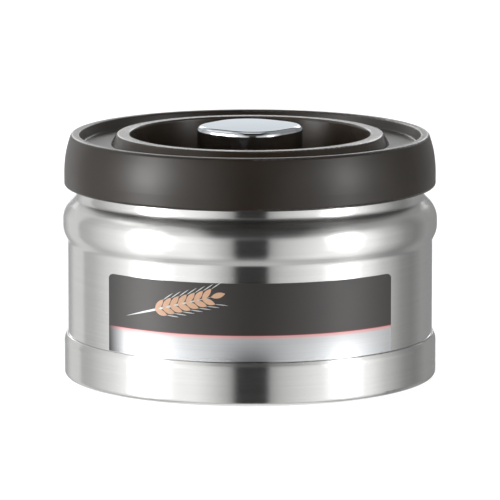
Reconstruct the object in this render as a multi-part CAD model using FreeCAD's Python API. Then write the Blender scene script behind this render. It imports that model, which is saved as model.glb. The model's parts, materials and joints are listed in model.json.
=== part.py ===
import FreeCAD, Part
import math
import os
from FreeCAD import Vector

# A push-to-seal food canister: a drawn steel body and a moulded lid whose button spreads a gasket.
# Millimetres, +Z up, origin at the middle of the foot, -Y is the labelled front.

# Steel body and its base cup
steel = 0.5
body_radius = 62.7
wall_height = 32.3
floor_bend = 4.0
base_step = 1.3
base_band_height = 13.0
base_shoulder_height = 2.0
base_shoulder_bend = 4.0
base_corner = 1.8
base_lip_round = 0.35
base_recess = 1.8
foot_width = 14.0
recess_slope = 2.0
press_gap = 0.05

# Swage bead, neck and rolled rim
bead_rise = 1.65
bead_lead = 3.3
bead_height = 7.0
bead_bends = (2.5, 8.0, 8.5)
neck_inset = 3.4
neck_bend = 3.6
neck_height = 15.25
curl_gap = 1.2
curl_depth = 3.0
curl_bend = 0.5

# Printed film on the front
label_thickness = 0.15
label_height = 26.4
label_span = 98.6
label_corner = 1.6
label_lift = 0.2

# Lid cover
seat_gap = 0.1
roof = 2.0
skirt_depth = 12.1
skirt_wall = 2.2
skirt_gap = 0.6
skirt_lean = 2.4
skirt_straight = 10.8
skirt_sweep = 36.0
skirt_edge = 1.0
lip_height = 3.5
lip_width = 2.7
lip_slope = 1.4
lip_bends = (1.1, 0.9, 0.8)
groove_width = 9.5
plug_gap = 1.6
plug_wall = 2.0
plug_depth = 10.0

# Raised ring and well
ring_height = 3.6
ring_slope = 2.2
ring_band = 4.3
ring_bend = 0.8
well_depth = 13.6
well_taper = 1.1
well_wall = 2.0
well_bend = 2.0
insert_gap = 0.3

# Button
button_side = 33.0
button_corner = 12.5
button_turn = 8.0
button_rise = 3.0
button_travel = 6.0
button_wall = 1.6
button_roof = 2.0
button_round = 1.8
button_crown = 0.4
button_gap = 0.3
collar_wall = 1.6
collar_drop = 2.4

# Plunger with its six-sided wedge
wedge_sides = 6
wedge_slope = 0.2
wedge_height = 4.0
wedge_margin = 1.6
wedge_wall = 2.5
wedge_plate = 1.6
stop_gap = 0.1
hub_radius = 9.0
hub_bore = 7.4
hub_roof = 2.0
hub_drop = 3.6
spigot_height = 5.0
spigot_gap = 0.1
spigot_wall = 1.6

# Spreader shoes
shoe_width = 14.0
shoe_engage = 1.0
shoe_wall = 2.5
shoe_web = 2.5
shoe_share = 0.9
slide_gap = 0.1
rail_gap = 0.15
rail_width = 1.5
rail_height = 3.0
rail_clear = 3.0

# Slide plate and plug cover
plate = 2.0
plate_gap = 0.3
plate_edge_gap = 0.2
cover_floor = 1.8
cover_wall = 2.8
cover_ledge = 2.7
cover_bend = 2.5
cover_recess = 0.8
cover_recess_inset = 12.0
hook_width = 8.0
hook_thickness = 1.6
hook_barb = 1.1
hook_head = 1.4
hook_gap = 0.3
hook_inset = 6.5

# Gasket
gasket_gap = 1.0
gasket_wall = 1.5
gasket_flange = 2.9
gasket_rib = 0.5
gasket_rib_half = 0.9
gasket_bend = 0.6
gasket_shoe_gap = 0.3

# Screws
screw_radius = 1.1
screw_hole_gap = 0.3
screw_pilot_gap = 0.1
screw_head_radius = 2.6
screw_head = 1.6
screw_chamfer = 0.6
drive_length = 2.8
drive_width = 0.7
drive_depth = 0.9
screw_reach = 9.0
screw_clear = 0.4
cap_screw_reach = 3.0
boss_radius = 3.5

# Return spring
spring_radius = 6.2
spring_wire = 1.0
spring_turns = 5
spring_end_turns = 1
spring_end_pitch = 1.5
post_gap = 0.5
post_height = 7.0

# Latch pin and its heart track
latch_turn = 90.0
latch_swing = 14.0
pin_wire = 1.0
pin_bend = 1.0
pin_leg_gap = 0.6
pin_foot = 3.9
pin_foot_gap = 0.05
pin_rise = 10.9
pin_axis_height = 1.1
pin_tip_gap = 0.3
bracket_width = 5.0
bracket_length = 2.6
bracket_height = 2.2
track_depth = 1.5
track_side_gap = 0.35
track_head = 1.4
pad_thickness = 1.4
pad_border = 1.0
window_gap = 0.8
window_half = 3.4

# Radii worked out from the sizes above
base_radius = body_radius + base_step
bead_radius = body_radius + bead_rise
neck_radius = body_radius - neck_inset
neck_bore = neck_radius - steel
rim_radius = neck_radius + curl_gap + steel
skirt_bore = rim_radius + skirt_gap
skirt_radius = skirt_bore + skirt_wall
lip_outer = skirt_radius - skirt_lean
lip_inner = lip_outer - lip_width
groove_outer = lip_inner - lip_slope
ring_radius = groove_outer - groove_width
ring_top_outer = ring_radius - ring_slope
well_radius = ring_top_outer - ring_band
well_foot = well_radius - well_taper
plug_radius = neck_bore - plug_gap
button_reach = (button_side / 2 - button_corner) * math.sqrt(2) + button_corner
wedge_top_apothem = button_reach + button_gap + wedge_margin
wedge_apothem = wedge_top_apothem - wedge_slope * wedge_height
wedge_corner = wedge_top_apothem / math.cos(math.pi / wedge_sides)
gasket_radius = neck_bore - gasket_gap
gasket_bore = gasket_radius - gasket_wall
gasket_lip = gasket_bore - gasket_flange
shoe_travel = wedge_slope * button_travel
shoe_radius = gasket_bore - gasket_shoe_gap
shoe_arm_end = gasket_lip - shoe_travel - plate_gap
plate_radius = plug_radius - cover_wall - plate_edge_gap
hook_radius = plate_radius - cover_ledge - hook_inset
boss_circle = (wedge_corner + hook_radius - hook_barb - hook_gap) / 2
pad_face = hub_radius + pad_thickness
pin_leg = pad_face + pin_leg_gap + pin_wire / 2
pin_tip = pad_face - track_depth + pin_tip_gap
post_radius = spring_radius - spring_wire / 2 - post_gap

# Heights worked out from the sizes above
body_bottom = base_recess + steel
base_top = base_band_height + base_shoulder_height
bead_start = base_top + wall_height
bead_low = bead_start + bead_lead
bead_high = bead_low + bead_height
neck_start = bead_high + bead_radius - neck_radius
rim_top = neck_start + neck_height
roof_under = rim_top + seat_gap
groove_floor = roof_under + roof
lip_top = groove_floor + lip_height
ring_top = groove_floor + ring_height
skirt_bottom = roof_under - skirt_depth
well_floor = ring_top - well_depth
well_under = well_floor - well_wall
collar_bottom = well_under - collar_drop
wedge_top = collar_bottom - stop_gap
wedge_bottom = wedge_top - wedge_height
plate_top = wedge_bottom - button_travel - plate_gap
plate_bottom = plate_top - plate
cover_top = plate_bottom - screw_head - screw_clear
cover_bottom = cover_top - cover_floor
plug_bottom = roof_under - plug_depth
button_top = ring_top + button_rise
cap_ceiling = button_top - button_roof
hub_top = cap_ceiling - hub_drop
hub_ceiling = hub_top - hub_roof
pin_axis = plate_top + pin_axis_height
pin_tip_rest = pin_axis + pin_rise

up = Vector(0, 0, 1)
origin = Vector(0, 0, 0)


def radial_plane(r, z):
    return Vector(r, 0, z)


def level_plane(height):
    return lambda x, y: Vector(x, y, height)


def rounded_wire(corners, place, closed=True):
    """Straight runs through (u, v, radius) corners, each rounded by a tangent arc of its radius."""
    bends = []
    last = len(corners) - 1
    for index, (u, v, radius) in enumerate(corners):
        here = Vector(u, v, 0)
        is_end = not closed and index in (0, last)
        if radius == 0 or is_end:
            bends.append((here, None, here))
            continue
        before = corners[index - 1]
        after = corners[(index + 1) % len(corners)]
        to_before = (Vector(before[0], before[1], 0) - here).normalize()
        to_after = (Vector(after[0], after[1], 0) - here).normalize()
        half = to_before.getAngle(to_after) / 2
        run = radius / math.tan(half)
        inward = (to_before + to_after).normalize()
        middle = here + inward * (radius / math.sin(half) - radius)
        bends.append((here + to_before * run, middle, here + to_after * run))

    def point(flat):
        return place(flat.x, flat.y)

    edges = []
    for index, (entry, middle, leave) in enumerate(bends):
        if middle is not None:
            edges.append(Part.Arc(point(entry), point(middle), point(leave)).toShape())
        if closed or index < last:
            following = bends[(index + 1) % len(bends)][0]
            if leave.distanceToPoint(following) > 1e-6:
                edges.append(Part.LineSegment(point(leave), point(following)).toShape())
    return Part.Wire(edges)


def revolved(corners, angle=360.0):
    """Solid of revolution about the Z axis from closed (r, z, radius) corners."""
    return Part.Face(rounded_wire(corners, radial_plane)).revolve(origin, up, angle)


def sheet_outline(path, thickness):
    """Closed outline of sheet whose right-hand side follows an open path of (r, z, radius) corners."""
    directions = []
    for start, end in zip(path, path[1:]):
        directions.append(Vector(end[0] - start[0], end[1] - start[1], 0).normalize())
    inner = []
    for index, (r, z, radius) in enumerate(path):
        before = directions[max(index - 1, 0)]
        after = directions[min(index, len(directions) - 1)]
        left_before = Vector(-before.y, before.x, 0)
        left_after = Vector(-after.y, after.x, 0)
        mitre = (left_before + left_after) * (thickness / (1 + left_before.dot(left_after)))
        turns_left = before.cross(after).z > 0
        inner_radius = radius - thickness if turns_left else radius + thickness
        is_bend = radius > 0 and 0 < index < len(path) - 1
        inner.append((r + mitre.x, z + mitre.y, max(inner_radius, 0) if is_bend else 0))
    return path + inner[::-1]


def prism(corners, bottom, top):
    """Upright solid between two heights from closed (x, y, radius) corners."""
    face = Part.Face(rounded_wire(corners, level_plane(bottom)))
    return face.extrude(Vector(0, 0, top - bottom))


def squircle(side, corner):
    half = side / 2
    return [(half, half, corner), (-half, half, corner), (-half, -half, corner), (half, -half, corner)]


def button_outline(inset):
    return squircle(button_side - 2 * inset, button_corner - inset)


def button_prism(inset, bottom, top):
    """Rounded-square prism parallel to the button's side, turned with the button."""
    return turned(prism(button_outline(inset), bottom, top), button_turn + 45)


def hexagon(apothem, height):
    """Polygon with a flat side facing each shoe."""
    corner_radius = apothem / math.cos(math.pi / wedge_sides)
    corners = []
    for index in range(wedge_sides):
        angle = math.pi / wedge_sides * (2 * index + 1)
        corners.append((corner_radius * math.cos(angle), corner_radius * math.sin(angle), 0))
    return rounded_wire(corners, level_plane(height))


def hex_frustum(apothem, bottom, top):
    upper = apothem + wedge_slope * (top - bottom)
    return Part.makeLoft([hexagon(apothem, bottom), hexagon(upper, top)], True, True)


def cylinder(radius, bottom, top, x=0.0, y=0.0):
    return Part.makeCylinder(radius, top - bottom, Vector(x, y, bottom))


def block(x_low, x_high, half_width, bottom, top):
    return Part.makeBox(x_high - x_low, 2 * half_width, top - bottom, Vector(x_low, -half_width, bottom))


def turned(shape, angle):
    copy = shape.copy()
    copy.rotate(origin, up, angle)
    return copy


def around(shape, start_angle):
    """Copies of a shape, one for each side of the wedge."""
    return [turned(shape, start_angle + index * 360.0 / wedge_sides) for index in range(wedge_sides)]


def between_shoes(shape):
    return around(shape, 180.0 / wedge_sides)


def pan_screw(x, head_bottom, reach):
    """Screw that points up, with a chamfered, cross-recessed head under the piece it holds."""
    head_top = head_bottom + screw_head
    profile = [
        (0, head_bottom, 0),
        (screw_head_radius - screw_chamfer, head_bottom, 0),
        (screw_head_radius, head_bottom + screw_chamfer, 0),
        (screw_head_radius, head_top, 0),
        (screw_radius, head_top, 0),
        (screw_radius, head_top + reach - screw_chamfer, 0),
        (screw_radius - screw_chamfer, head_top + reach, 0),
        (0, head_top + reach, 0),
    ]
    slot = block(-drive_length / 2, drive_length / 2, drive_width / 2, head_bottom, head_bottom + drive_depth)
    screw = revolved(profile).cut([slot, turned(slot, 90)])
    screw.translate(Vector(x, 0, 0))
    return screw


def make_body_shell():
    path = [
        (0, body_bottom, 0),
        (body_radius, body_bottom, floor_bend),
        (body_radius, bead_start, bead_bends[0]),
        (bead_radius, bead_low, bead_bends[1]),
        (bead_radius, bead_high, bead_bends[2]),
        (neck_radius, neck_start, neck_bend),
        (neck_radius, rim_top - steel, curl_bend),
        (neck_radius + curl_gap, rim_top - steel, curl_bend),
        (neck_radius + curl_gap, rim_top - curl_depth, 0),
    ]
    return revolved(sheet_outline(path, steel))


def make_base_cup():
    foot_inner = base_radius - foot_width
    path = [
        (0, base_recess, 0),
        (foot_inner - recess_slope, base_recess, base_recess),
        (foot_inner, 0, base_recess),
        (base_radius, 0, base_corner),
        (base_radius, base_band_height, base_shoulder_bend),
        (body_radius + press_gap + steel, base_top, base_lip_round),
    ]
    return revolved(sheet_outline(path, steel))


def make_front_label():
    """Curved film: a flat outline with round upper corners, cut through a thin tube."""
    inner = body_radius + press_gap
    outer = inner + label_thickness
    bottom = base_top + label_lift
    top = bottom + label_height
    half = inner * math.sin(math.radians(label_span / 2))
    tube = cylinder(outer, bottom, top).cut(cylinder(inner, bottom, top))
    outline = [
        (-half, bottom, 0),
        (half, bottom, 0),
        (half, top, label_corner),
        (-half, top, label_corner),
    ]
    front = Part.Face(rounded_wire(outline, lambda x, z: Vector(x, -2 * outer, z)))
    return tube.common(front.extrude(Vector(0, 2 * outer, 0)))


def make_lid_cover():
    """Skirt, lip and groove, with an inner skirt that enters the neck."""
    skirt_turn = skirt_bottom + skirt_straight
    return revolved([
        (skirt_radius, skirt_bottom, skirt_edge),
        (skirt_radius, skirt_turn, skirt_sweep),
        (lip_outer, lip_top, lip_bends[0]),
        (lip_inner, lip_top, lip_bends[1]),
        (groove_outer, groove_floor, lip_bends[2]),
        (well_radius + well_wall + insert_gap, groove_floor, 0),
        (well_radius + well_wall + insert_gap, roof_under, 0),
        (plug_radius - plug_wall, roof_under, 0),
        (plug_radius - plug_wall, plug_bottom, 0),
        (plug_radius, plug_bottom, 0),
        (plug_radius, roof_under, 0),
        (skirt_bore, roof_under, 0),
        (skirt_bore, skirt_bottom, 0),
    ])


def make_well_insert():
    """Raised ring, well, button collar and the bosses that the slide plate is screwed to."""
    bowl = revolved([
        (ring_radius, groove_floor, 0),
        (ring_top_outer, ring_top, ring_bend),
        (well_radius, ring_top, ring_bend),
        (well_foot, well_floor, well_bend),
        (0, well_floor, 0),
        (0, well_under, 0),
        (well_foot + well_wall, well_under, well_bend),
        (well_radius + well_wall, groove_floor, 0),
    ])
    collar = button_prism(-button_gap - collar_wall, collar_bottom, well_floor)
    opening = button_prism(-button_gap, collar_bottom, well_floor)
    boss = cylinder(boss_radius, plate_top, well_floor, boss_circle)
    pilot = cylinder(screw_radius + screw_pilot_gap, plate_top, plate_top + screw_reach, boss_circle)
    bowl = bowl.fuse([collar] + between_shoes(boss))
    return bowl.cut([opening] + between_shoes(pilot)).removeSplitter()


def make_button_cap():
    """Hollow chromed button with a rounded edge, a slightly crowned top and a screw boss inside."""
    crown_radius = (button_reach ** 2 + button_crown ** 2) / (2 * button_crown)
    crown = Part.makeSphere(crown_radius, Vector(0, 0, button_top - crown_radius))
    solid = button_prism(0, wedge_top, button_top).common(crown)
    top_edges = [edge for edge in solid.Edges if edge.BoundBox.ZMin > button_top - 2 * button_crown]
    solid = solid.makeFillet(button_round, top_edges)
    hollow = button_prism(button_wall, wedge_top, cap_ceiling)
    hollow = hollow.cut(cylinder(boss_radius, hub_top, cap_ceiling))
    pilot = cylinder(screw_radius + screw_pilot_gap, hub_top, hub_top + cap_screw_reach)
    return solid.cut([hollow, pilot])


def track_outline():
    """Loop of the latch track: two lanes that part from the rest point and meet above it."""
    side = pin_wire / 2 + track_side_gap
    swing = math.radians(latch_swing)
    lane_u = pin_rise * math.sin(swing)
    lane_z = pin_axis + pin_rise * math.cos(swing) + button_travel
    loop = [
        (side, pin_tip_rest - side, side * 0.8),
        (lane_u + side, lane_z, side * 0.3),
        (lane_u + side, lane_z + track_head, side * 0.6),
        (-lane_u - side, lane_z + track_head, side * 0.6),
        (-lane_u - side, lane_z, side * 0.3),
        (-side, pin_tip_rest - side, side * 0.8),
    ]
    lane_slope = lane_u / (lane_z - pin_tip_rest)
    lane_side = side * math.hypot(1, lane_slope)
    island_low = pin_tip_rest + lane_side / lane_slope
    island_top = lane_z - track_head
    island_half = lane_slope * (island_top - pin_tip_rest) - lane_side
    island = [
        (0, island_low, 0),
        (island_half, island_top, 0),
        (0, island_top - island_half, 0),
        (-island_half, island_top, 0),
    ]
    return loop, island


def radial_prism(corners, inner, outer):
    """Prism along the latch's radius from (u, z, radius) corners, before it is turned."""
    face = Part.Face(rounded_wire(corners, lambda u, z: Vector(inner, u, z)))
    return face.extrude(Vector(outer - inner, 0, 0))


def make_plunger():
    """Wedge, spigot inside the button, spring hub and latch track."""
    wedge = hex_frustum(wedge_apothem, wedge_bottom, wedge_top)
    pocket = hex_frustum(wedge_apothem - wedge_wall, wedge_bottom, wedge_top - wedge_plate)
    spigot_inset = button_wall + spigot_gap
    spigot = button_prism(spigot_inset, wedge_top, wedge_top + spigot_height)
    spigot = spigot.cut(button_prism(spigot_inset + spigot_wall, wedge_top, wedge_top + spigot_height))
    hub = cylinder(hub_radius, wedge_bottom, hub_top)
    loop, island = track_outline()
    pad_half = max(u for u, z, radius in loop) + pad_border
    pad_top = max(z for u, z, radius in loop) + pad_border
    pad = block(hub_bore, pad_face, pad_half, wedge_top, pad_top)
    groove = radial_prism(loop, pad_face - track_depth, pad_face)
    groove = groove.cut(radial_prism(island, pad_face - track_depth, pad_face))
    window = block(pad_face, pin_leg + pin_wire / 2 + window_gap, window_half, wedge_bottom, wedge_top)
    bore = cylinder(hub_bore, wedge_bottom, hub_ceiling)
    hole = cylinder(screw_radius + screw_hole_gap, hub_ceiling, hub_top)
    body = wedge.cut(pocket).fuse([spigot, hub, turned(pad, latch_turn)])
    return body.cut([bore, hole, turned(groove, latch_turn), turned(window, latch_turn)]).removeSplitter()


def make_shoe():
    """L-shaped slider along +X: a wedge-faced arm and an arc that backs the gasket."""
    arm_bottom = plate_top + slide_gap
    arm_top = wedge_bottom + shoe_engage
    arc_bottom = plate_top + gasket_wall + gasket_shoe_gap
    arc_top = plug_bottom - gasket_wall - gasket_shoe_gap
    arc_inner = shoe_radius - shoe_wall
    web_inner = shoe_arm_end - shoe_web

    def face_at(height):
        return wedge_apothem + wedge_slope * (height - wedge_bottom) + slide_gap

    arm_profile = [
        (face_at(arm_bottom), arm_bottom, 0),
        (shoe_arm_end, arm_bottom, 0),
        (shoe_arm_end, arc_bottom, 0),
        (arc_inner + shoe_wall / 3, arc_bottom, 0),
        (arc_inner + shoe_wall / 3, arm_top, 0),
        (face_at(arm_top), arm_top, 0),
    ]
    half = shoe_width / 2
    arm = Part.Face(rounded_wire(arm_profile, lambda x, z: Vector(x, -half, z)))
    arm = arm.extrude(Vector(0, shoe_width, 0))
    span = shoe_share * 360.0 / wedge_sides
    arc = revolved([
        (web_inner, arc_bottom, 0),
        (shoe_radius, arc_bottom, 0),
        (shoe_radius, arc_top, 0),
        (arc_inner, arc_top, 0),
        (arc_inner, arc_bottom + shoe_web, 0),
        (web_inner, arc_bottom + shoe_web, 0),
    ], span)
    return arm.fuse(turned(arc, -span / 2)).removeSplitter()


def make_slide_plate():
    """Disc with a rail pair for each shoe, the spring's post and the latch pin's bracket."""
    disc = cylinder(plate_radius, plate_bottom, plate_top)
    post = cylinder(post_radius, plate_top, plate_top + post_height)
    rail_in = wedge_corner + rail_clear
    rail_out = shoe_arm_end - shoe_web - rail_clear
    rail_low = shoe_width / 2 + rail_gap
    rail = Part.makeBox(rail_out - rail_in, rail_width, plate + rail_height,
                        Vector(rail_in, rail_low, plate_bottom))
    mirror = rail.mirror(origin, Vector(0, 1, 0))
    bracket_in = pin_leg + pin_foot - bracket_length
    bracket = block(bracket_in, pin_leg + pin_foot + bracket_height - bracket_length,
                    bracket_width / 2, plate_bottom, plate_top + bracket_height)
    socket = Part.makeCylinder(pin_wire / 2 + pin_foot_gap, bracket_length + bracket_height,
                               Vector(bracket_in, 0, pin_axis), Vector(1, 0, 0))
    hole = cylinder(screw_radius + screw_hole_gap, plate_bottom, plate_top, boss_circle)
    slot = block(hook_radius - hook_gap - hook_barb, hook_radius + hook_thickness + hook_gap,
                 hook_width / 2 + hook_gap, plate_bottom, plate_top)
    body = disc.fuse([post, turned(bracket, latch_turn)] + around(rail, 0) + around(mirror, 0))
    return body.cut([turned(socket, latch_turn)] + between_shoes(hole) + between_shoes(slot)).removeSplitter()


def make_plug_cover():
    """Shallow cup that closes the lid from below and snaps into the slide plate."""
    seat_inner = plug_radius - cover_wall
    ledge_inner = seat_inner - cover_ledge
    panel = plug_radius - cover_recess_inset
    cup = revolved([
        (0, cover_bottom + cover_recess, 0),
        (panel - cover_recess, cover_bottom + cover_recess, cover_recess),
        (panel, cover_bottom, cover_recess),
        (plug_radius, cover_bottom, cover_bend),
        (plug_radius, plate_top, 0),
        (seat_inner, plate_top, 0),
        (seat_inner, plate_bottom, 0),
        (ledge_inner, plate_bottom, 0),
        (ledge_inner, cover_top, 0),
        (0, cover_top, 0),
    ])
    hook_low = plate_top + slide_gap
    hook_profile = [
        (hook_radius, cover_bottom + cover_floor / 2, 0),
        (hook_radius + hook_thickness, cover_bottom + cover_floor / 2, 0),
        (hook_radius + hook_thickness, hook_low, 0),
        (hook_radius + hook_thickness + hook_barb, hook_low, 0),
        (hook_radius + hook_thickness, hook_low + hook_head, 0),
        (hook_radius, hook_low + hook_head, 0),
    ]
    half = hook_width / 2
    hook = Part.Face(rounded_wire(hook_profile, lambda x, z: Vector(x, -half, z)))
    hook = hook.extrude(Vector(0, hook_width, 0))
    return cup.fuse(between_shoes(hook)).removeSplitter()


def make_gasket():
    """C-shaped silicone ring with two sealing ribs, clamped at its flanges."""
    rib_low = plate_top + gasket_wall + 2 * gasket_rib_half
    rib_high = plug_bottom - gasket_wall - 2 * gasket_rib_half
    outer = [(gasket_lip, plate_top, 0), (gasket_radius, plate_top, gasket_bend)]
    for middle in (rib_low, rib_high):
        outer.append((gasket_radius, middle - gasket_rib_half, 0))
        outer.append((gasket_radius + gasket_rib, middle, 0))
        outer.append((gasket_radius, middle + gasket_rib_half, 0))
    outer += [(gasket_radius, plug_bottom, gasket_bend), (gasket_lip, plug_bottom, 0)]
    inner = [
        (gasket_lip, plug_bottom - gasket_wall, 0),
        (gasket_bore, plug_bottom - gasket_wall, gasket_bend),
        (gasket_bore, plate_top + gasket_wall, gasket_bend),
        (gasket_lip, plate_top + gasket_wall, 0),
    ]
    return revolved(outer + inner)


def make_latch_pin():
    """Bent wire: a foot in the bracket, an upright leg and a hook in the track."""
    route = [
        (pin_leg + pin_foot, pin_axis, 0),
        (pin_leg, pin_axis, pin_bend),
        (pin_leg, pin_tip_rest, pin_bend),
        (pin_tip, pin_tip_rest, 0),
    ]
    path = rounded_wire(route, radial_plane, closed=False)
    start = Vector(pin_leg + pin_foot, 0, pin_axis)
    section = Part.Wire([Part.Circle(start, Vector(1, 0, 0), pin_wire / 2).toShape()])
    return turned(path.makePipeShell([section], True, False), latch_turn)


def spring_height(turn, turns, bottom, top):
    """Height of the wire's middle after so many turns, with closer end turns."""
    end_rise = spring_end_pitch * spring_end_turns
    pitch = (top - bottom - 2 * end_rise) / (turns - 2 * spring_end_turns)
    if turn < spring_end_turns:
        return bottom + spring_end_pitch * turn
    if turn > turns - spring_end_turns:
        return top - spring_end_pitch * (turns - turn)
    return bottom + end_rise + pitch * (turn - spring_end_turns)


def biarc(start, start_way, end, end_way):
    """Two tangent arcs from one point and direction to another."""
    gap = end - start
    ways = start_way + end_way
    square = 2 * start_way.dot(end_way) - 2
    linear = -2 * gap.dot(ways)
    reach = (-linear - math.sqrt(linear ** 2 - 4 * square * gap.dot(gap))) / (2 * square)
    first = start + start_way * reach
    second = end - end_way * reach
    joint = (first + second) * 0.5
    return [bend_arc(start, first, joint), bend_arc(joint, second, end)]


def bend_arc(start, apex, end):
    """Arc from start to end, tangent to the lines through the apex."""
    chord_middle = (start + end) * 0.5
    half_chord = start.distanceToPoint(end) / 2
    rise = chord_middle.distanceToPoint(apex)
    turn = 2 * math.atan2(rise, half_chord)
    sagitta = half_chord * math.tan(turn / 4)
    return Part.Arc(start, chord_middle + (apex - chord_middle) * (sagitta / rise), end).toShape()


def make_return_spring():
    """Open coil between the slide plate and the hub, swept along half-turn biarcs."""
    bottom = plate_top + spring_wire / 2
    top = hub_ceiling - spring_wire / 2

    def point(turn):
        angle = 2 * math.pi * turn
        height = spring_height(turn, spring_turns, bottom, top)
        return Vector(spring_radius * math.cos(angle), spring_radius * math.sin(angle), height)

    def way(turn):
        step = 0.05
        low = spring_height(max(turn - step, 0), spring_turns, bottom, top)
        high = spring_height(min(turn + step, spring_turns), spring_turns, bottom, top)
        spread = min(turn + step, spring_turns) - max(turn - step, 0)
        angle = 2 * math.pi * turn
        around_speed = 2 * math.pi * spring_radius
        rise_speed = (high - low) / spread
        return Vector(-around_speed * math.sin(angle), around_speed * math.cos(angle), rise_speed).normalize()

    edges = []
    for half_turn in range(2 * spring_turns):
        start = half_turn / 2
        end = start + 0.5
        edges += biarc(point(start), way(start), point(end), way(end))
    path = Part.Wire(edges)
    section = Part.Wire([Part.Circle(point(0), way(0), spring_wire / 2).toShape()])
    least = min(point(step / 16 + 1).distanceToPoint(point(step / 16)) for step in range(16 * (spring_turns - 1)))
    print("return_spring: least gap to itself %.2f mm" % (least - spring_wire))
    return path.makePipeShell([section], True, False)


def main():
    pieces = {
        "body_shell": make_body_shell(),
        "base_cup": make_base_cup(),
        "front_label": make_front_label(),
        "lid_cover": make_lid_cover(),
        "well_insert": make_well_insert(),
        "slide_plate": make_slide_plate(),
        "plug_cover": make_plug_cover(),
        "expanding_gasket": make_gasket(),
        "plate_screws": Part.makeCompound(
            between_shoes(pan_screw(boss_circle, plate_bottom - screw_head, screw_reach))),
        "return_spring": make_return_spring(),
        "button_cap": make_button_cap(),
        "plunger": make_plunger(),
        "cap_screw": pan_screw(0, hub_ceiling - screw_head, cap_screw_reach + hub_roof - screw_pilot_gap),
        "latch_pin": make_latch_pin(),
    }
    for index, shoe in enumerate(around(make_shoe(), 0)):
        pieces["spreader_shoe_%d" % (index + 1)] = shoe
    os.makedirs("parts", exist_ok=True)
    for name, shape in pieces.items():
        shape.exportStep("parts/%s.step" % name)
        print("%-18s solids %d valid %s volume %.0f" % (name, len(shape.Solids), shape.isValid(), shape.Volume))


main()
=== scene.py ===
import json
import math

import bmesh
import bpy
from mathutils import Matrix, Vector


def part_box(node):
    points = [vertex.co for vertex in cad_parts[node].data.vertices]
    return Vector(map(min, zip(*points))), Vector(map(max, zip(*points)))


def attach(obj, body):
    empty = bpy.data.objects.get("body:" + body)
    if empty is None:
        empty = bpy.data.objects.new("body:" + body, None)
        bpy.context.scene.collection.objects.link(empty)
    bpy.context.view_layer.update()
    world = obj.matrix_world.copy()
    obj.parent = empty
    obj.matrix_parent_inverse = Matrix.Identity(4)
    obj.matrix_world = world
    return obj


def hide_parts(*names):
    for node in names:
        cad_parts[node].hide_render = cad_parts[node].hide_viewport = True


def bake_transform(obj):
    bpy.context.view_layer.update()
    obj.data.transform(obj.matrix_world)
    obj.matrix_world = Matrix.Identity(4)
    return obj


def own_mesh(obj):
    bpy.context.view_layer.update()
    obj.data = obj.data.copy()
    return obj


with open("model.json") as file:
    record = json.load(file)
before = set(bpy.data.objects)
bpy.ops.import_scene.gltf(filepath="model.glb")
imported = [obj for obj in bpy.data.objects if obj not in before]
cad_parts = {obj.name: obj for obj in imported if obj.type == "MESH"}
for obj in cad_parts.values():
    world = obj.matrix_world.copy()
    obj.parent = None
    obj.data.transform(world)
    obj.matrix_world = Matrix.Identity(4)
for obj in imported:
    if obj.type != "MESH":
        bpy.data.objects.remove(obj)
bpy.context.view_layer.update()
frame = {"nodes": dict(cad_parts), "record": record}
nodes = frame["nodes"]
scene = bpy.context.scene

# Sizes of the printed film, in metres, as in the part's frame
LABEL_RADIUS = 0.0629
LABEL_LOW, LABEL_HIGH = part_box("front_label")[0].z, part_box("front_label")[1].z
RED_LOW, RED_HIGH = 0.0229, 0.0242
# Where the painted shade on the film's left end starts and ends, along X
PAINTED_SHADE_START, PAINTED_SHADE_END = -0.0477, -0.0425

# Span that most of a noise texture's values lie in
NOISE_LOW, NOISE_HIGH = 0.3, 0.7

# Sockets of the colour form of Blender's mix node
MIX_FACTOR, MIX_FIRST, MIX_SECOND, MIX_RESULT = 0, 6, 7, 2


def placed(name, data):
    """A new object in the scene."""
    piece = bpy.data.objects.new(name, data)
    scene.collection.objects.link(piece)
    return piece


def fill_ramp(band, stops):
    """Gives a colour ramp its stops, as (position, colour); a plain number stands for a grey."""
    while len(band.elements) > 1:
        band.elements.remove(band.elements[-1])
    for index, (position, color) in enumerate(stops):
        channels = (color,) * 3 if isinstance(color, float) else color
        element = band.elements.new(position) if index else band.elements[0]
        element.position = position
        element.color = (*channels, 1.0)


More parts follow.
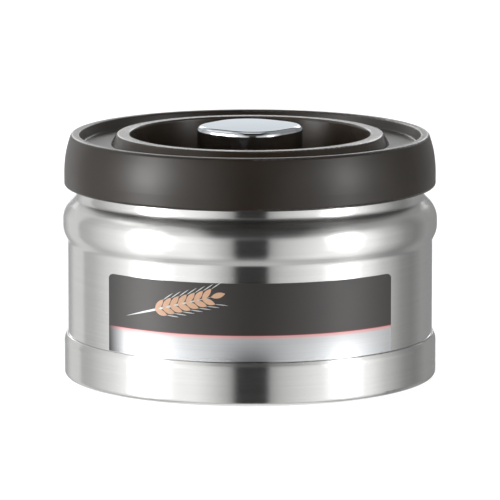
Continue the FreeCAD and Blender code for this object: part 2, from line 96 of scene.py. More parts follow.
class Look:
    """A node material around one Principled shader."""

    def __init__(self, name, color, roughness, metallic=0.0, **sockets):
        self.material = bpy.data.materials.new(name)
        self.material.use_nodes = True
        self.tree = self.material.node_tree
        self.shader = self.tree.nodes["Principled BSDF"]
        self.set("Base Color", (*color, 1.0))
        self.set("Roughness", roughness)
        self.set("Metallic", metallic)
        for socket, value in sockets.items():
            self.set(socket.replace("_", " "), value)
        self.place = self.node("ShaderNodeTexCoord").outputs["Object"]

    def set(self, socket, value):
        self.shader.inputs[socket].default_value = value

    def node(self, kind, **values):
        made = self.tree.nodes.new(kind)
        for key, value in values.items():
            setattr(made, key, value)
        return made

    def link(self, source, target):
        self.tree.links.new(source, target)

    def feed(self, source, socket):
        self.link(source, self.shader.inputs[socket])

    def stretched(self, scale):
        """The piece's own coordinates, scaled differently along X, Y and Z."""
        mapping = self.node("ShaderNodeMapping")
        mapping.inputs["Scale"].default_value = scale
        self.link(self.place, mapping.inputs["Vector"])
        return mapping.outputs["Vector"]

    def noise(self, scale=1.0, detail=3.0, roughness=0.55, place=None):
        made = self.node("ShaderNodeTexNoise")
        made.inputs["Scale"].default_value = scale
        made.inputs["Detail"].default_value = detail
        made.inputs["Roughness"].default_value = roughness
        self.link(place or self.place, made.inputs["Vector"])
        return made.outputs["Fac"]

    def ranged(self, value, low, high, from_low=NOISE_LOW, from_high=NOISE_HIGH):
        made = self.node("ShaderNodeMapRange")
        made.inputs["From Min"].default_value = from_low
        made.inputs["From Max"].default_value = from_high
        made.inputs["To Min"].default_value = low
        made.inputs["To Max"].default_value = high
        self.link(value, made.inputs["Value"])
        return made.outputs["Result"]

    def ramp(self, value, stops):
        """Colour at a value, from a list of (position, colour)."""
        made = self.node("ShaderNodeValToRGB")
        fill_ramp(made.color_ramp, stops)
        self.link(value, made.inputs["Fac"])
        return made.outputs["Color"]

    def multiplied(self, first, second):
        """Product of two colours."""
        made = self.node("ShaderNodeMix", data_type="RGBA", blend_type="MULTIPLY")
        made.inputs[MIX_FACTOR].default_value = 1.0
        self.link(first, made.inputs[MIX_FIRST])
        self.link(second, made.inputs[MIX_SECOND])
        return made.outputs[MIX_RESULT]

    def combined(self, operation, first, second):
        """Sum or product of two values."""
        made = self.node("ShaderNodeMath", operation=operation)
        self.link(first, made.inputs[0])
        self.link(second, made.inputs[1])
        return made.outputs["Value"]

    def bump(self, height, strength, distance):
        made = self.node("ShaderNodeBump")
        made.inputs["Strength"].default_value = strength
        made.inputs["Distance"].default_value = distance
        self.link(height, made.inputs["Height"])
        self.feed(made.outputs["Normal"], "Normal")

    def toned(self, color, spread, scale=1.0, place=None):
        """Base colour that drifts a little lighter and darker."""
        darker = tuple(channel * (1 - spread) for channel in color)
        lighter = tuple(min(channel * (1 + spread), 1.0) for channel in color)
        stops = [(NOISE_LOW, darker), (NOISE_HIGH, lighter)]
        self.feed(self.ramp(self.noise(scale, place=place), stops), "Base Color")


def brushed_steel(name, color, roughness):
    """Satin steel whose fine lines run round the axis."""
    look = Look(name, color, roughness, metallic=1.0, Anisotropic=0.97, Anisotropic_Rotation=0.25)
    lines = look.noise(detail=4.0, roughness=0.65, place=look.stretched((14.0, 14.0, 5200.0)))
    streaks = look.noise(detail=2.0, roughness=0.5, place=look.stretched((9.0, 9.0, 1500.0)))
    clouds = look.noise(scale=28.0)
    look.toned(color, spread=0.02, place=look.stretched((9.0, 9.0, 1900.0)))
    streaky = look.ranged(streaks, roughness - 0.02, roughness + 0.02)
    look.feed(look.combined("ADD", streaky, look.ranged(clouds, -0.01, 0.01)), "Roughness")
    tangent = look.node("ShaderNodeTangent", direction_type="RADIAL", axis="Z")
    look.feed(tangent.outputs["Tangent"], "Tangent")
    look.bump(lines, strength=0.03, distance=0.00001)
    return look.material


def moulded_plastic(name, color, roughness, relief=0.12, **sockets):
    """Moulded plastic with a fine grain and an uneven sheen."""
    look = Look(name, color, roughness, **sockets)
    fine = look.noise(scale=5200.0, detail=2.0, roughness=0.6)
    clouds = look.noise(scale=46.0, detail=4.0)
    look.toned(color, spread=0.09, scale=130.0)
    look.feed(look.ranged(clouds, roughness - 0.03, roughness + 0.03), "Roughness")
    look.bump(fine, strength=relief, distance=0.00004)
    return look.material


def plated(name, color):
    """Polished plating with faint haze."""
    look = Look(name, color, roughness=0.06, metallic=1.0, Specular_Tint=(0.77, 0.82, 0.86, 1.0))
    haze = look.noise(scale=70.0, detail=5.0, roughness=0.6)
    ripple = look.noise(scale=160.0, detail=2.0)
    look.toned(color, spread=0.02, scale=90.0)
    look.feed(look.ranged(haze, 0.035, 0.085), "Roughness")
    look.bump(ripple, strength=0.03, distance=0.00004)
    return look.material


def drawn_wire(name, color, roughness):
    """Bare metal with the marks of drawing or plating."""
    look = Look(name, color, roughness, metallic=1.0)
    marks = look.noise(scale=1600.0, roughness=0.7)
    look.toned(color, spread=0.10, scale=420.0)
    look.feed(look.ranged(marks, roughness - 0.06, roughness + 0.08), "Roughness")
    look.bump(marks, strength=0.10, distance=0.00003)
    return look.material


def silicone(name, color):
    """Soft, slightly see-through rubber with a dusty skin."""
    look = Look(name, color, roughness=0.42, Subsurface_Weight=0.35, Subsurface_Scale=0.002,
                Sheen_Weight=0.15, Coat_Weight=0.05)
    dust = look.noise(scale=2600.0, roughness=0.7)
    clouds = look.noise(scale=60.0)
    look.toned(color, spread=0.06, scale=60.0)
    look.feed(look.ranged(clouds, 0.36, 0.50), "Roughness")
    look.bump(dust, strength=0.06, distance=0.00003)
    return look.material


def ink(name, color, roughness, metallic=0.0):
    """Printing ink with a thin varnish."""
    look = Look(name, color, roughness, metallic, Coat_Weight=0.25, Coat_Roughness=0.12)
    dots = look.noise(scale=2200.0, detail=2.0, roughness=0.6)
    look.toned(color, spread=0.05, scale=900.0)
    look.feed(look.ranged(dots, roughness - 0.04, roughness + 0.04), "Roughness")
    look.bump(dots, strength=0.03, distance=0.00002)
    return look.material


# Colours of the printed film, from its foot to its top
FILM_FOOT, FILM_PALE = (0.59, 0.605, 0.62), (0.59, 0.60, 0.61)
FILM_BLUSH, FILM_PINK, FILM_RED = (0.70, 0.55, 0.555), (0.86, 0.40, 0.41), (0.20, 0.030, 0.030)
FILM_DARK_LOW, FILM_DARK_HIGH = (0.021, 0.017, 0.0145), (0.018, 0.0147, 0.0125)

# Its plain colour, for a viewer that shows no nodes, and how much of the colour is left where the painted
# shade on its left end is darkest
FILM_PLAIN, PAINTED_SHADE_LEVEL = (0.03, 0.026, 0.024), 0.05

# The red line's dark upper share, and half the width of a soft edge as a share of the film's height
RED_SHARE, FILM_SOFT = 0.2, 0.004


def printed_film(name):
    """Dark field, red line and pale silvery band, under a clear gloss, with painted shade on its left end.
    """
    look = Look(name, FILM_PLAIN, roughness=0.42, IOR=1.62)
    axes = look.node("ShaderNodeSeparateXYZ")
    look.link(look.place, axes.inputs["Vector"])
    height = look.ranged(axes.outputs["Z"], 0.0, 1.0, LABEL_LOW, LABEL_HIGH)
    red_low, red_high = ((z - LABEL_LOW) / (LABEL_HIGH - LABEL_LOW) for z in (RED_LOW, RED_HIGH))
    red_edge = red_high - RED_SHARE * (red_high - red_low)
    soft = FILM_SOFT
    color = look.ramp(height, [
        (0.0, FILM_FOOT),
        (red_low - 4 * soft, FILM_PALE),
        (red_low + soft, FILM_BLUSH),
        (red_edge - soft, FILM_PINK),
        (red_edge + soft, FILM_RED),
        (red_high - soft, FILM_RED),
        (red_high + soft, FILM_DARK_LOW),
        (1.0, FILM_DARK_HIGH),
    ])
    grain = look.noise(roughness=0.6, place=look.stretched((20.0, 20.0, 2400.0)))
    shade = look.ramp(grain, [(NOISE_LOW, 0.92), (NOISE_HIGH, 1.0)])
    # Painted shade: the film's colour darkens towards its left end
    painted_shade = look.ranged(axes.outputs["X"], PAINTED_SHADE_LEVEL, 1.0, PAINTED_SHADE_START, PAINTED_SHADE_END)
    look.feed(look.multiplied(look.multiplied(color, shade), painted_shade), "Base Color")
    metal = look.ramp(height, [
        (0.0, 0.97),
        (red_low - soft, 0.50),
        (red_low + soft, 0.35),
        (red_high - soft, 0.30),
        (red_high + soft, 0.0),
    ])
    look.feed(metal, "Metallic")
    sheen = look.ramp(height, [(0.0, 0.27), (red_low, 0.40), (red_high, 0.42)])
    uneven = look.ranged(look.noise(scale=55.0), 0.93, 1.07)
    look.feed(look.combined("MULTIPLY", sheen, uneven), "Roughness")
    look.bump(look.noise(scale=900.0, detail=2.0), strength=0.02, distance=0.00003)
    return look.material


LID_COLOR = (0.0165, 0.0112, 0.0070)
LID_GLOSS = {"IOR": 1.45, "Sheen_Weight": 0.15, "Sheen_Roughness": 0.3}
WELL_COLOR = (0.027, 0.019, 0.0125)
WELL_GLOSS = {**LID_GLOSS, "Specular_IOR_Level": 0.42}
SHOE_GLOW = {"Subsurface_Weight": 0.1, "Subsurface_Scale": 0.001}
finishes = {
    "body_steel": brushed_steel("body_steel", (0.66, 0.66, 0.65), 0.19),
    "base_steel": brushed_steel("base_steel", (0.65, 0.65, 0.64), 0.20),
    "label_film": printed_film("label_film"),
    "lid_plastic": moulded_plastic("lid_plastic", LID_COLOR, 0.34, **LID_GLOSS),
    "well_plastic": moulded_plastic("well_plastic", WELL_COLOR, 0.23, **WELL_GLOSS),
    "inner_plastic": moulded_plastic("inner_plastic", (0.62, 0.62, 0.59), 0.45, relief=0.08),
    "plug_plastic": moulded_plastic("plug_plastic", (0.030, 0.026, 0.023), 0.42),
    "shoe_plastic": moulded_plastic("shoe_plastic", (0.72, 0.70, 0.65), 0.36, relief=0.05, **SHOE_GLOW),
    "gasket_silicone": silicone("gasket_silicone", (0.42, 0.42, 0.40)),
    "button_chrome": plated("button_chrome", (0.55, 0.57, 0.59)),
    "screw_steel": drawn_wire("screw_steel", (0.60, 0.61, 0.60), 0.32),
    "spring_steel": drawn_wire("spring_steel", (0.50, 0.50, 0.51), 0.28),
}
for part in frame["record"]["subparts"]:
    mesh = nodes[part["node"]].data
    mesh.materials.clear()
    mesh.materials.append(finishes[part["material_slot"]])

# Thickness of one layer of print, and a layer's depth in such steps
PRINT_STEP, INK_DEPTH = 0.00002, 1.2
LEAF_FULLNESS, LEAF_POINT = 0.8, 0.01


def lean(turn):
    """Direction on the film, as (along, up), that leans by turn degrees from upright."""
    return math.sin(math.radians(turn)), math.cos(math.radians(turn))


def film_point(along, up, radius):
    """A point of the label's round front from its distance along the film and its height."""
    angle = along / LABEL_RADIUS
    return (radius * math.sin(angle), -radius * math.cos(angle), up)


def print_layer(name, grid, layer, look):
    """Thin layer of ink on the film, from rows of (along, up) points."""
    inner = LABEL_RADIUS + (layer - INK_DEPTH) * PRINT_STEP
    outer = LABEL_RADIUS + layer * PRINT_STEP
    rows, columns = len(grid), len(grid[0])
    points = [film_point(u, v, radius) for radius in (outer, inner) for row in grid for u, v in row]
    half = rows * columns
    faces = []
    for i in range(rows - 1):
        for j in range(columns - 1):
            a, b = i * columns + j, (i + 1) * columns + j
            faces += [(a, a + 1, b + 1, b), (half + b, half + b + 1, half + a + 1, half + a)]
    first, last = list(range(columns)), list(range(half - columns, half))
    left, right = list(range(0, half, columns)), list(range(columns - 1, half, columns))
    for border in (first, last[::-1], left[::-1], right):
        faces += [(b, a, half + a, half + b) for a, b in zip(border, border[1:])]
    mesh = bpy.data.meshes.new(name)
    mesh.from_pydata(points, [], faces)
    mesh.validate()
    mesh.update()
    mesh.materials.append(look)
    piece = placed(name, mesh)
    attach(piece, "canister")


def leaf_grid(start, length, width, turn, steps=18):
    """Pointed oval that leans by turn degrees from upright."""
    along, up = lean(turn)
    grid = []
    for i in range(steps + 1):
        t = i / steps
        half = width / 2 * math.sin(math.pi * t) ** LEAF_FULLNESS if 0 < i < steps else width * LEAF_POINT
        u, v = start[0] + along * length * t, start[1] + up * length * t
        grid.append([(u - up * half * side, v + along * half * side) for side in (1, 0, -1)])
    return grid


# A plain ear of grain, printed across the left of the dark field
EAR_FOOT, EAR_LEAN, EAR_LENGTH = (-0.0455, 0.0282), 75.0, 0.034
EAR_PAIRS, FIRST_PAIR, PAIR_STEP, EAR_TIP = 7, 0.37, 0.087, 0.985
STEM_WIDTH, STEM_STEPS = 0.0008, 40
GRAIN_LENGTH, TIP_LENGTH, GRAIN_WIDTH, GRAIN_LEAN = 0.0048, 0.0050, 0.0019, 34.0
AWN_START, AWN_LENGTH, AWN_WIDTH, AWN_LEAN = 0.0046, 0.0046, 0.0003, 20.0
stem_ink = ink("stem_ink", (0.60, 0.62, 0.62), 0.30, metallic=0.3)
grain_ink = ink("grain_ink", (0.72, 0.44, 0.28), 0.32)


def beyond(start, distance, turn):
    """The point at a distance from another, in the direction that leans by turn degrees."""
    along, up = lean(turn)
    return start[0] + along * distance, start[1] + up * distance


print_layer("print_stem", leaf_grid(EAR_FOOT, EAR_LENGTH, STEM_WIDTH, EAR_LEAN, STEM_STEPS), 1, stem_ink)
tip_start = beyond(EAR_FOOT, EAR_LENGTH * EAR_TIP, EAR_LEAN)
print_layer("print_grain_tip", leaf_grid(tip_start, TIP_LENGTH, GRAIN_WIDTH, EAR_LEAN), 2, grain_ink)
for index in range(EAR_PAIRS):
    for side, way in (("low", 1), ("high", -1)):
        start = beyond(EAR_FOOT, EAR_LENGTH * (FIRST_PAIR + PAIR_STEP * index), EAR_LEAN)
        turn = EAR_LEAN + way * GRAIN_LEAN
        grain = leaf_grid(start, GRAIN_LENGTH, GRAIN_WIDTH, turn)
        print_layer("print_grain_%s_%d" % (side, index + 1), grain, 2, grain_ink)
        awn = leaf_grid(beyond(start, AWN_START, turn), AWN_LENGTH, AWN_WIDTH, EAR_LEAN + way * AWN_LEAN)
        print_layer("print_awn_%s_%d" % (side, index + 1), awn, 1, stem_ink)

SHARP_ANGLE = math.radians(50.0)


def smooth_piece(name, points, faces, look, body, slot):
    """Closed smooth mesh that rides on a body, or on none yet."""
    mesh = bpy.data.meshes.new(name)
    mesh.from_pydata(points, [], faces)
    shape = bmesh.new()
    shape.from_mesh(mesh)
    bmesh.ops.recalc_face_normals(shape, faces=shape.faces)
    shape.to_mesh(mesh)
    shape.free()
    mesh.shade_smooth()
    mesh.set_sharp_from_angle(angle=SHARP_ANGLE)
    mesh.materials.append(look)
    piece = placed(name, mesh)
    if body:
        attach(piece, body)
    return piece


# Return spring: the part's coil, drawn as one smooth wire with close end turns
SPRING_LOW, SPRING_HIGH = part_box("return_spring")[0].z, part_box("return_spring")[1].z
SPRING_RADIUS, SPRING_WIRE = 0.0062, 0.001
SPRING_TURNS, SPRING_END_PITCH = 5, 0.0015
SPRING_STEPS, SPRING_SIDES = 64, 14
PITCH_EASE, EASE_SAMPLES = 0.12, 4


def coil_height(turn):
    """Height of the wire's middle: close end turns, open turns between."""
    low, high = SPRING_LOW + SPRING_WIRE / 2, SPRING_HIGH - SPRING_WIRE / 2
    pitch = (high - low - 2 * SPRING_END_PITCH) / (SPRING_TURNS - 2)
    if turn < 1:
        return low + SPRING_END_PITCH * turn
    if turn > SPRING_TURNS - 1:
        return high - SPRING_END_PITCH * (SPRING_TURNS - turn)
    return low + SPRING_END_PITCH + pitch * (turn - 1)


def eased_height(turn):
    """The same, with the change of pitch spread over part of a turn."""
    if turn < PITCH_EASE or turn > SPRING_TURNS - PITCH_EASE:
        return coil_height(turn)
    spread = [PITCH_EASE * k / EASE_SAMPLES for k in range(-EASE_SAMPLES, EASE_SAMPLES + 1)]
    return sum(coil_height(turn + offset) for offset in spread) / len(spread)


coil_points, coil_faces = [], []
coil_rings = SPRING_STEPS * SPRING_TURNS
for ring in range(coil_rings + 1):
    angle = 2 * math.pi * ring / SPRING_STEPS
    outward = Vector((math.cos(angle), math.sin(angle), 0.0))
    height = eased_height(ring / SPRING_STEPS)
    middle = Vector((SPRING_RADIUS * math.cos(angle), SPRING_RADIUS * math.sin(angle), height))
    for side in range(SPRING_SIDES):
        roll = 2 * math.pi * side / SPRING_SIDES
        offset = outward * math.cos(roll) + Vector((0.0, 0.0, 1.0)) * math.sin(roll)
        coil_points.append(middle + offset * (SPRING_WIRE / 2))
for ring in range(coil_rings):
    for side in range(SPRING_SIDES):
        a, b = ring * SPRING_SIDES + side, ring * SPRING_SIDES + (side + 1) % SPRING_SIDES
        coil_faces.append((a, b, b + SPRING_SIDES, a + SPRING_SIDES))
coil_faces += [tuple(range(SPRING_SIDES)), tuple(coil_rings * SPRING_SIDES + k for k in range(SPRING_SIDES))]
coil = smooth_piece("return_coil", coil_points, coil_faces, finishes["spring_steel"], "lid", "spring_steel")
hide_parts("return_spring")
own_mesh(coil)

# Drawn body: the part's own sheet, turned finely enough that its bends mirror smoothly
BODY_STEEL, BODY_SEGMENTS, BEND_STEP = 0.0005, 256, math.radians(2.5)
BODY_RADIUS, BEAD_RADIUS, NECK_RADIUS, RIM_RADIUS = 0.0627, 0.06433, 0.0593, 0.0605
BODY_FLOOR, BODY_TOP, BEAD_LOW, BEAD_HIGH = 0.0023, 0.0473, 0.0506, 0.0576
NECK_LOW, RIM_LOW, RIM_TOP = 0.06265, 0.0749, 0.0774
FLOOR_BEND, SWAGE_BEND, BEAD_LOW_BEND, BEAD_HIGH_BEND = 0.004, 0.0025, 0.008, 0.0085
NECK_BEND, RIM_BEND = 0.0036, 0.0005
BODY_PATH = [
    (0.0, BODY_FLOOR, 0.0),
    (BODY_RADIUS, BODY_FLOOR, FLOOR_BEND),
    (BODY_RADIUS, BODY_TOP, SWAGE_BEND),
    (BEAD_RADIUS, BEAD_LOW, BEAD_LOW_BEND),
    (BEAD_RADIUS, BEAD_HIGH, BEAD_HIGH_BEND),
    (NECK_RADIUS, NECK_LOW, NECK_BEND),
    (NECK_RADIUS, RIM_TOP, RIM_BEND),
    (RIM_RADIUS, RIM_TOP, RIM_BEND),
    (RIM_RADIUS, RIM_LOW, 0.0),
]


def sheet_section(path, thickness):
    """Both sides of a bent sheet: a path of (radius, height, bend), and one at the thickness to its left."""
    front, back = [], []
    for index, (radius, height, bend) in enumerate(path):
        corner = Vector((radius, height))
        before = (corner - Vector(path[index - 1][:2])).normalized() if index else None
        after = (Vector(path[index + 1][:2]) - corner).normalized() if index + 1 < len(path) else None
        if before is None or after is None:
            way = after or before
            turns = [(corner, math.atan2(way.y, way.x))]
        else:
            start = math.atan2(before.y, before.x)
            turn = (math.atan2(after.y, after.x) - start + math.pi) % (2 * math.pi) - math.pi
            side = 1 if turn > 0 else -1
            tangent_point = corner - before * bend * math.tan(abs(turn) / 2)
            centre = tangent_point + Vector((-before.y, before.x)) * bend * side
            count = max(2, math.ceil(abs(turn) / BEND_STEP))
            turns = []
            for k in range(count + 1):
                angle = start + turn * k / count
                turns.append((centre + Vector((math.sin(angle), -math.cos(angle))) * bend * side, angle))
        for point, angle in turns:
            front.append((point.x, point.y))
            back.append((point.x - thickness * math.sin(angle), point.y + thickness * math.cos(angle)))
    return front, back


def turned_sheet(front, back, segments):
    """Points and faces of a sheet's section turned round the axis; both sides start on the axis."""
    outline = front[1:] + back[:0:-1]
    count = len(outline)
    points = [(0.0, 0.0, front[0][1]), (0.0, 0.0, back[0][1])]
    faces = []
    for segment in range(segments):
        angle = 2 * math.pi * segment / segments
        points += [(r * math.cos(angle), r * math.sin(angle), z) for r, z in outline]
        near, far = 2 + segment * count, 2 + (segment + 1) % segments * count
        faces += [(near + k, far + k, far + k + 1, near + k + 1) for k in range(count - 1)]
        faces += [(0, far, near), (1, near + count - 1, far + count - 1)]
    return points, faces


shell = smooth_piece("drawn_body", *turned_sheet(*sheet_section(BODY_PATH, BODY_STEEL), BODY_SEGMENTS),
                     finishes["body_steel"], "canister", "body_steel")
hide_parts("body_shell")

# Expanding gasket: channel section with two rounded sealing ribs, in arcs that meet at each shoe and halfway
# between shoes
GASKET_LOW, GASKET_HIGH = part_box("expanding_gasket")[0].z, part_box("expanding_gasket")[1].z
GASKET_RADIUS, GASKET_BORE, GASKET_LIP, GASKET_WALL = 0.05725, 0.0563, 0.0534, 0.0015
LIP_ROUND, EDGE_ROUND, BORE_ROUND, ROUND_STEPS = 0.0004, 0.0007, 0.0006, 6
RIB_RISE, RIB_HALF, RIB_INSET, RIB_STEPS = 0.0003, 0.0009, 0.0033, 6
SHOES, SHOE_REACH = 6, 0.0042
SEAM_ANGLE = 180.0 / SHOES
COARSE_STEP, FINE_START, FINE_STEP = 2.4, 24.0, 0.5
ARC_STEPS = [COARSE_STEP * k for k in range(round(FINE_START / COARSE_STEP))]
ARC_STEPS += [FINE_START + FINE_STEP * k for k in range(round((SEAM_ANGLE - FINE_START) / FINE_STEP) + 1)]


def corner_arc(before, corner, after, radius):
    """Points of a rounded corner of a profile."""
    before, corner, after = Vector(before), Vector(corner), Vector(after)
    start = corner + (before - corner).normalized() * radius
    end = corner + (after - corner).normalized() * radius
    shares = [k / ROUND_STEPS for k in range(ROUND_STEPS + 1)]
    return [start * (1 - t) ** 2 + corner * 2 * t * (1 - t) + end * t ** 2 for t in shares]


gasket_corners = [
    (GASKET_LIP, GASKET_LOW, LIP_ROUND),
    (GASKET_RADIUS, GASKET_LOW, EDGE_ROUND),
    (GASKET_RADIUS, GASKET_HIGH, EDGE_ROUND),
    (GASKET_LIP, GASKET_HIGH, LIP_ROUND),
    (GASKET_LIP, GASKET_HIGH - GASKET_WALL, LIP_ROUND),
    (GASKET_BORE, GASKET_HIGH - GASKET_WALL, BORE_ROUND),
    (GASKET_BORE, GASKET_LOW + GASKET_WALL, BORE_ROUND),
    (GASKET_LIP, GASKET_LOW + GASKET_WALL, LIP_ROUND),
]
OUTER_LOW_CORNER = 1
gasket_profile = []
for index, (radius, height, bend) in enumerate(gasket_corners):
    before, after = gasket_corners[index - 1][:2], gasket_corners[(index + 1) % len(gasket_corners)][:2]
    gasket_profile += [(p.x, p.y) for p in corner_arc(before, (radius, height), after, bend)]
    if index == OUTER_LOW_CORNER:
        for middle in (GASKET_LOW + RIB_INSET, GASKET_HIGH - RIB_INSET):
            for k in range(-RIB_STEPS, RIB_STEPS + 1):
                swell = (1 + math.cos(math.pi * k / RIB_STEPS)) / 2
                gasket_profile.append((GASKET_RADIUS + RIB_RISE * swell, middle + RIB_HALF * k / RIB_STEPS))
count = len(gasket_profile)
for shoe in range(SHOES):
    for side, way in (("near", 1), ("far", -1)):
        shoe_angle, points, faces = 360.0 / SHOES * shoe, [], []
        for ring, step in enumerate(ARC_STEPS):
            angle = math.radians(shoe_angle + way * step)
            points += [(r * math.cos(angle), r * math.sin(angle), z) for r, z in gasket_profile]
            if ring:
                a, b = (ring - 1) * count, ring * count
                faces += [(a + k, a + (k + 1) % count, b + (k + 1) % count, b + k) for k in range(count)]
        faces += [tuple(range(count)), tuple(range(len(points) - count, len(points)))]
        arc = smooth_piece("sealing_gasket_%d_%s" % (shoe + 1, side), points, faces,
                           finishes["gasket_silicone"], None, "gasket_silicone")
        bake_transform(arc)
        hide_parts("expanding_gasket")

# Camera, as fitted to the photograph's outlines
TARGET = Vector((0.0, 0.0, 0.04287))
ELEVATION, DISTANCE = math.radians(9.2), 1.926
SENSOR, LENS = 36.0, 402.8
camera_data = bpy.data.cameras.new("camera")
camera_data.sensor_width = SENSOR
camera_data.lens = LENS
camera = placed("camera", camera_data)
back = Vector((0.0, -math.cos(ELEVATION), math.sin(ELEVATION)))
camera.location = TARGET + back * DISTANCE
camera.rotation_euler = (-back).to_track_quat("-Z", "Y").to_euler()
scene.camera = camera


def wired(tree, kind, *sources, **values):
    """A new node with its inputs linked or set in order."""
    made = tree.nodes.new(kind)
    for key, value in values.items():
        setattr(made, key, value)
    for socket, source in zip(made.inputs, sources):
        if isinstance(source, bpy.types.NodeSocket):
            tree.links.new(source, socket)
        elif source is not None:
            socket.default_value = source
    return made


def stage_piece(name, mesh):
    """Piece of the studio with an empty node material; returns both."""
    piece = placed(name, mesh)
    look = bpy.data.materials.new(name)
    look.use_nodes = True
    look.node_tree.nodes.clear()
    mesh.materials.append(look)
    return piece, look


# Pale floor that keeps the shadow
FLOOR_HALF, FLOOR_HEIGHT = 6.0, -0.0001
FLOOR_COLOR, FLOOR_GLOW = (0.42, 0.42, 0.42, 1.0), 0.80
floor_mesh = bpy.data.meshes.new("floor")
floor_signs = [(-1, -1), (1, -1), (1, 1), (-1, 1)]
floor_corners = [(x * FLOOR_HALF, y * FLOOR_HALF, FLOOR_HEIGHT) for x, y in floor_signs]
floor_mesh.from_pydata(floor_corners, [], [(0, 1, 2, 3)])
floor, floor_look = stage_piece("floor", floor_mesh)
floor.visible_glossy = False
tree = floor_look.node_tree
path = wired(tree, "ShaderNodeLightPath")
seen = path.outputs["Is Camera Ray"]
for kind in ("Is Glossy Ray", "Is Transmission Ray"):
    seen = wired(tree, "ShaderNodeMath", seen, path.outputs[kind], operation="MAXIMUM").outputs["Value"]
strength = wired(tree, "ShaderNodeMath", seen, FLOOR_GLOW, operation="MULTIPLY").outputs["Value"]
diffuse = wired(tree, "ShaderNodeBsdfDiffuse", FLOOR_COLOR)
glow = wired(tree, "ShaderNodeEmission", None, strength)
both = wired(tree, "ShaderNodeAddShader", diffuse.outputs["BSDF"], glow.outputs["Emission"])
wired(tree, "ShaderNodeOutputMaterial", both.outputs["Shader"])

# White background
world = bpy.data.worlds.new("studio")
scene.world = world
world.use_nodes = True
background = world.node_tree.nodes["Background"]
background.inputs["Color"].default_value = (1.0, 1.0, 1.0, 1.0)
background.inputs["Strength"].default_value = 1.0

# Studio walls round the object, as light and as what the metal mirrors: pairs of azimuth, in degrees to the
# right of the camera's side, and light level
BACK_LEFT = [(-180, 1.1), (-170, 1.1), (-166, 0.42), (-158, 0.46), (-146, 0.80), (-131, 0.84), (-127, 0.56)]
LEFT_WALL = [(-116, 0.64), (-92, 1.12), (-80, 1.5)]
LEFT_LAMP = [(-72, 12.5), (-61, 12.5), (-53, 2.7)]
LEFT_FRONT = [(-46, 1.65), (-25, 1.02), (-12, 0.50)]
CAMERA_GAP = [(-8, 0.04), (10.5, 0.04)]
RIGHT_FRONT = [(12.5, 0.48), (20, 0.74), (45, 1.25), (51, 2.5)]
RIGHT_LAMP = [(57, 7.0), (66, 7.0), (73, 1.6)]
RIGHT_WALL = [(91, 0.80), (110, 0.36), (122, 0.27)]
BACK_RIGHT = [(138, 0.39), (162, 0.31), (171, 0.30), (175, 1.1)]
WALLS = BACK_LEFT + LEFT_WALL + LEFT_LAMP + LEFT_FRONT + CAMERA_GAP + RIGHT_FRONT + RIGHT_LAMP
WALLS += RIGHT_WALL + BACK_RIGHT

# Light levels above and below the walls
CEILING_LEFT, CEILING_RIGHT, FRONT_SHADE, BACK_SHADE, BACKDROP = 0.80, 0.40, 0.05, 0.05, 6.0
LAMP_HEAD, LAMP_FOOT, TABLE, NEAR_FLOOR, HIGH_LAMP = 1.6, 1.3, 0.48, 1.2, 1.7

# Sphere that carries the walls
DOME_RADIUS, DOME_SEGMENTS, DOME_RINGS = 3.0, 48, 24
surround_mesh = bpy.data.meshes.new("surround")
dome = bmesh.new()
bmesh.ops.create_uvsphere(dome, u_segments=DOME_SEGMENTS, v_segments=DOME_RINGS, radius=DOME_RADIUS)
dome.to_mesh(surround_mesh)
dome.free()
surround, surround_look = stage_piece("surround", surround_mesh)
surround.location = (0.0, 0.0, TARGET.z)
surround.visible_camera = False
surround_look.cycles.emission_sampling = "NONE"
tree = surround_look.node_tree


def maths(operation, first, second=None):
    """One step of arithmetic in the surround's material."""
    return wired(tree, "ShaderNodeMath", first, second, operation=operation).outputs["Value"]


def rises(value, edge):
    """0 below a soft edge of (low, high), 1 above it, smooth between."""
    return wired(tree, "ShaderNodeMapRange", value, *edge, interpolation_type="SMOOTHSTEP").outputs["Result"]


def falls(value, edge):
    """1 below a soft edge of (low, high), 0 above it, smooth between."""
    return maths("SUBTRACT", 1.0, rises(value, edge))


def all_of(share, *others):
    """Product of the shares, which is 1 only where all of them are."""
    for other in others:
        share = maths("MULTIPLY", share, other)
    return share


def towards(share, level, other):
    """Goes from one level to another as share rises from 0 to 1."""
    kept = maths("MULTIPLY", level, maths("SUBTRACT", 1.0, share))
    return maths("ADD", kept, maths("MULTIPLY", other, share))


# The direction from the object, in parts from -1 to 1; the zones below have their soft edges in these parts
place = wired(tree, "ShaderNodeTexCoord").outputs["Object"]
way = wired(tree, "ShaderNodeVectorMath", place, operation="NORMALIZE").outputs["Vector"]
axes = wired(tree, "ShaderNodeSeparateXYZ", way)
across, ahead, upward = axes.outputs["X"], axes.outputs["Y"], axes.outputs["Z"]
downward = maths("MULTIPLY", upward, -1.0)
sideways = maths("ABSOLUTE", across)
azimuth = maths("ARCTAN2", across, maths("MULTIPLY", ahead, -1.0))

turn = wired(tree, "ShaderNodeMapRange", azimuth, -math.pi, math.pi).outputs["Result"]
walls = wired(tree, "ShaderNodeValToRGB", turn)
fill_ramp(walls.color_ramp, [((degrees + 180) / 360, value) for degrees, value in WALLS])
level = walls.outputs["Color"]

# The tall lamps end below a ceiling that is brighter on the left
CEILING_SIDES, HEAD_EDGE, CEILING_EDGE = (-0.2, 0.4), (0.28, 0.52), (0.36, 0.60)
ceiling = towards(rises(across, CEILING_SIDES), CEILING_LEFT, CEILING_RIGHT)
level = towards(rises(upward, HEAD_EDGE), level, maths("MINIMUM", level, LAMP_HEAD))
level = towards(rises(upward, CEILING_EDGE), level, ceiling)

# Dark flag over the camera
FLAG_MIDDLE, FLAG_SIDES, FLAG_BACK, FLAG_FOOT = 0.05, (0.33, 0.58), (0.0, 0.20), (0.42, 0.58)
from_flag = maths("ABSOLUTE", maths("SUBTRACT", across, FLAG_MIDDLE))
flag = all_of(falls(from_flag, FLAG_SIDES), falls(ahead, FLAG_BACK), rises(upward, FLAG_FOOT))
level = towards(flag, level, FRONT_SHADE)

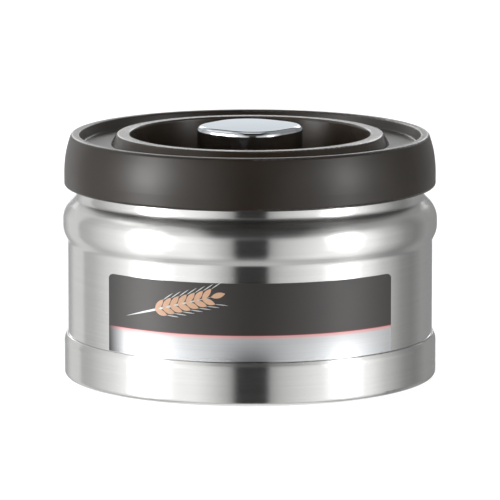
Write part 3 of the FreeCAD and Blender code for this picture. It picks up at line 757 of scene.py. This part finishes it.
# Two lit panels low on the back wall, beside its middle
PANEL_FOOT, PANEL_TOP, PANEL_FRONT = (0.18, 0.24), (0.36, 0.46), (0.60, 0.80)
PANEL_OUTER, PANEL_INNER = (0.22, 0.42), (0.06, 0.14)
panels = all_of(rises(upward, PANEL_FOOT), falls(upward, PANEL_TOP), falls(sideways, PANEL_OUTER))
panels = all_of(panels, rises(sideways, PANEL_INNER), rises(ahead, PANEL_FRONT))
level = towards(panels, level, BACKDROP)

# Dark cloth above them
CLOTH_FOOT, CLOTH_TOP, CLOTH_SIDES, CLOTH_FRONT = (0.38, 0.46), (0.86, 0.93), (0.10, 0.40), (0.30, 0.50)
cloth = all_of(rises(upward, CLOTH_FOOT), falls(upward, CLOTH_TOP), falls(sideways, CLOTH_SIDES))
level = towards(all_of(cloth, rises(ahead, CLOTH_FRONT)), level, BACK_SHADE)

# High lamp at the back on the left
HIGH_FOOT, HIGH_TOP, HIGH_SIDE, HIGH_FRONT = (0.58, 0.68), (0.76, 0.86), (-0.60, -0.40), (0.02, 0.16)
high_lamp = all_of(rises(upward, HIGH_FOOT), falls(upward, HIGH_TOP), falls(across, HIGH_SIDE))
level = towards(all_of(high_lamp, rises(ahead, HIGH_FRONT)), level, HIGH_LAMP)

# The lamps' feet, the grey table and the bright floor near the object
FEET_EDGE, TABLE_EDGE, NEAR_EDGE = (-0.05, 0.28), (0.66, 0.80), (0.88, 0.94)
level = towards(rises(downward, FEET_EDGE), level, maths("MINIMUM", level, LAMP_FOOT))
level = towards(rises(downward, TABLE_EDGE), level, TABLE)
level = towards(rises(downward, NEAR_EDGE), level, NEAR_FLOOR)

# The same bright floor behind the object
BEHIND_TOP, BEHIND_FRONT, BEHIND_SIDES = (0.30, 0.50), (-0.20, 0.10), (0.25, 0.45)
behind = all_of(rises(downward, BEHIND_TOP), rises(ahead, BEHIND_FRONT), falls(sideways, BEHIND_SIDES))
level = towards(behind, level, NEAR_FLOOR)
glow = wired(tree, "ShaderNodeEmission", level)
wired(tree, "ShaderNodeOutputMaterial", glow.outputs["Emission"])


def softbox(name, azimuth, elevation, distance, side, radiance):
    """Square lamp that faces the object; azimuth 0 is the camera's side and grows to the right."""
    data = bpy.data.lights.new(name, "AREA")
    data.shape = "RECTANGLE"
    data.size, data.size_y = side, side
    data.energy = radiance * math.pi * side * side
    lamp = placed(name, data)
    turn, rise = math.radians(azimuth), math.radians(elevation)
    way = Vector((math.sin(turn) * math.cos(rise), -math.cos(turn) * math.cos(rise), math.sin(rise)))
    lamp.location = TARGET + way * distance
    lamp.rotation_euler = way.to_track_quat("Z", "Y").to_euler()


softbox("softbox_top", azimuth=180.0, elevation=80.0, distance=1.8, side=0.9, radiance=0.8)

scene.view_settings.view_transform = "Standard"
